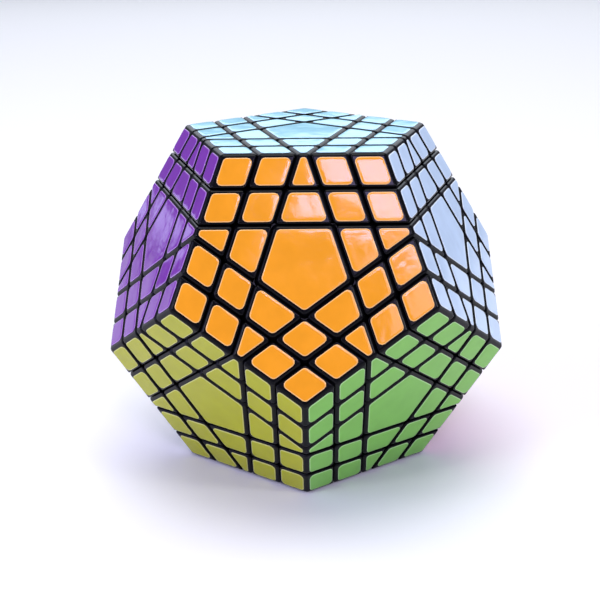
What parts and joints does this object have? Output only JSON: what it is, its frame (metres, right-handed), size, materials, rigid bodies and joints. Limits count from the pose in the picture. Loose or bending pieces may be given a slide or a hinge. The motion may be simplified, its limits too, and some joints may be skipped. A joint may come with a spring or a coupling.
{
  "type": "dodecahedron twisty puzzle",
  "caption": "Dodecahedron twisty puzzle in black plastic with coloured stickers; the front, back and base faces turn, each with an outer layer and a slice behind it.",
  "frame": {"origin": "centre of the core, where the twelve turning axes meet", "axes": "+Z through the middle of the top face, -Y towards the front, +X to the right; the bottom face is level"},
  "size_m": [0.1074, 0.1128, 0.0918],
  "materials": {
    "polished_black_abs": "gloss",
    "moulded_black_core": "satin",
    "zinc_plated_steel": "satin",
    "spring_steel": "polished",
    "vinyl_mixed": "gloss",
    "vinyl_sky_blue": "gloss",
    "vinyl_orange": "gloss",
    "vinyl_pale_blue": "gloss",
    "vinyl_cream": "gloss",
    "vinyl_yellow": "gloss",
    "vinyl_purple": "gloss",
    "vinyl_green": "gloss",
    "vinyl_pink": "gloss",
    "vinyl_red": "gloss",
    "vinyl_white": "gloss",
    "vinyl_olive": "gloss",
    "vinyl_dark_blue": "gloss"
  },
  "bodies": {
    "core": {"core_upper_half": "moulded_black_core", "core_lower_half": "moulded_black_core", "axis_screws": "zinc_plated_steel", "axis_washers": "zinc_plated_steel", "axis_springs": "spring_steel", "inner_centres": "moulded_black_core", "inner_edges": "moulded_black_core", "inner_corners": "moulded_black_core", "centre_caps": "polished_black_abs", "centre_covers": "polished_black_abs", "t_centres": "polished_black_abs", "x_centres": "polished_black_abs", "mid_edges": "polished_black_abs", "wings": "polished_black_abs", "corners": "polished_black_abs", "sky_blue_stickers": "vinyl_sky_blue", "pale_blue_stickers": "vinyl_pale_blue", "cream_stickers": "vinyl_cream", "purple_stickers": "vinyl_purple", "green_stickers": "vinyl_green", "pink_stickers": "vinyl_pink", "red_stickers": "vinyl_red", "white_stickers": "vinyl_white", "olive_stickers": "vinyl_olive"},
    "front_layer": {"front_face_cap": "polished_black_abs", "front_face_cover": "polished_black_abs", "front_face_t_centres": "polished_black_abs", "front_face_x_centres": "polished_black_abs", "front_face_edges": "polished_black_abs", "front_face_corners": "polished_black_abs", "front_face_stickers": "vinyl_orange", "front_face_side_stickers": "vinyl_mixed"},
    "front_slice": {"front_slice_centres": "polished_black_abs", "front_slice_wings": "polished_black_abs", "front_slice_inner_pieces": "moulded_black_core", "front_slice_stickers": "vinyl_mixed"},
    "back_layer": {"back_face_cap": "polished_black_abs", "back_face_cover": "polished_black_abs", "back_face_t_centres": "polished_black_abs", "back_face_x_centres": "polished_black_abs", "back_face_edges": "polished_black_abs", "back_face_corners": "polished_black_abs", "back_face_stickers": "vinyl_yellow", "back_face_side_stickers": "vinyl_mixed"},
    "back_slice": {"back_slice_centres": "polished_black_abs", "back_slice_wings": "polished_black_abs", "back_slice_inner_pieces": "moulded_black_core", "back_slice_stickers": "vinyl_mixed"},
    "base_layer": {"base_face_cap": "polished_black_abs", "base_face_cover": "polished_black_abs", "base_face_t_centres": "polished_black_abs", "base_face_x_centres": "polished_black_abs", "base_face_edges": "polished_black_abs", "base_face_corners": "polished_black_abs", "base_face_stickers": "vinyl_dark_blue", "base_face_side_stickers": "vinyl_mixed"},
    "base_slice": {"base_slice_centres": "polished_black_abs", "base_slice_wings": "polished_black_abs", "base_slice_inner_pieces": "moulded_black_core", "base_slice_stickers": "vinyl_mixed"}
  },
  "joints": [
    {"name": "front_layer_turn", "type": "hinge", "parent": "core", "child": "front_layer", "pos_m": [0, 0, 0], "axis": [0, -0.8944, 0.4472], "continuous": true},
    {"name": "front_slice_turn", "type": "hinge", "parent": "core", "child": "front_slice", "pos_m": [0, 0, 0], "axis": [0, -0.8944, 0.4472], "continuous": true},
    {"name": "back_layer_turn", "type": "hinge", "parent": "core", "child": "back_layer", "pos_m": [0, 0, 0], "axis": [-0.5257, 0.7236, 0.4472], "continuous": true},
    {"name": "back_slice_turn", "type": "hinge", "parent": "core", "child": "back_slice", "pos_m": [0, 0, 0], "axis": [-0.5257, 0.7236, 0.4472], "continuous": true},
    {"name": "base_layer_turn", "type": "hinge", "parent": "core", "child": "base_layer", "pos_m": [0, 0, 0], "axis": [0, 0, -1], "continuous": true},
    {"name": "base_slice_turn", "type": "hinge", "parent": "core", "child": "base_slice", "pos_m": [0, 0, 0], "axis": [0, 0, -1], "continuous": true}
  ]
}
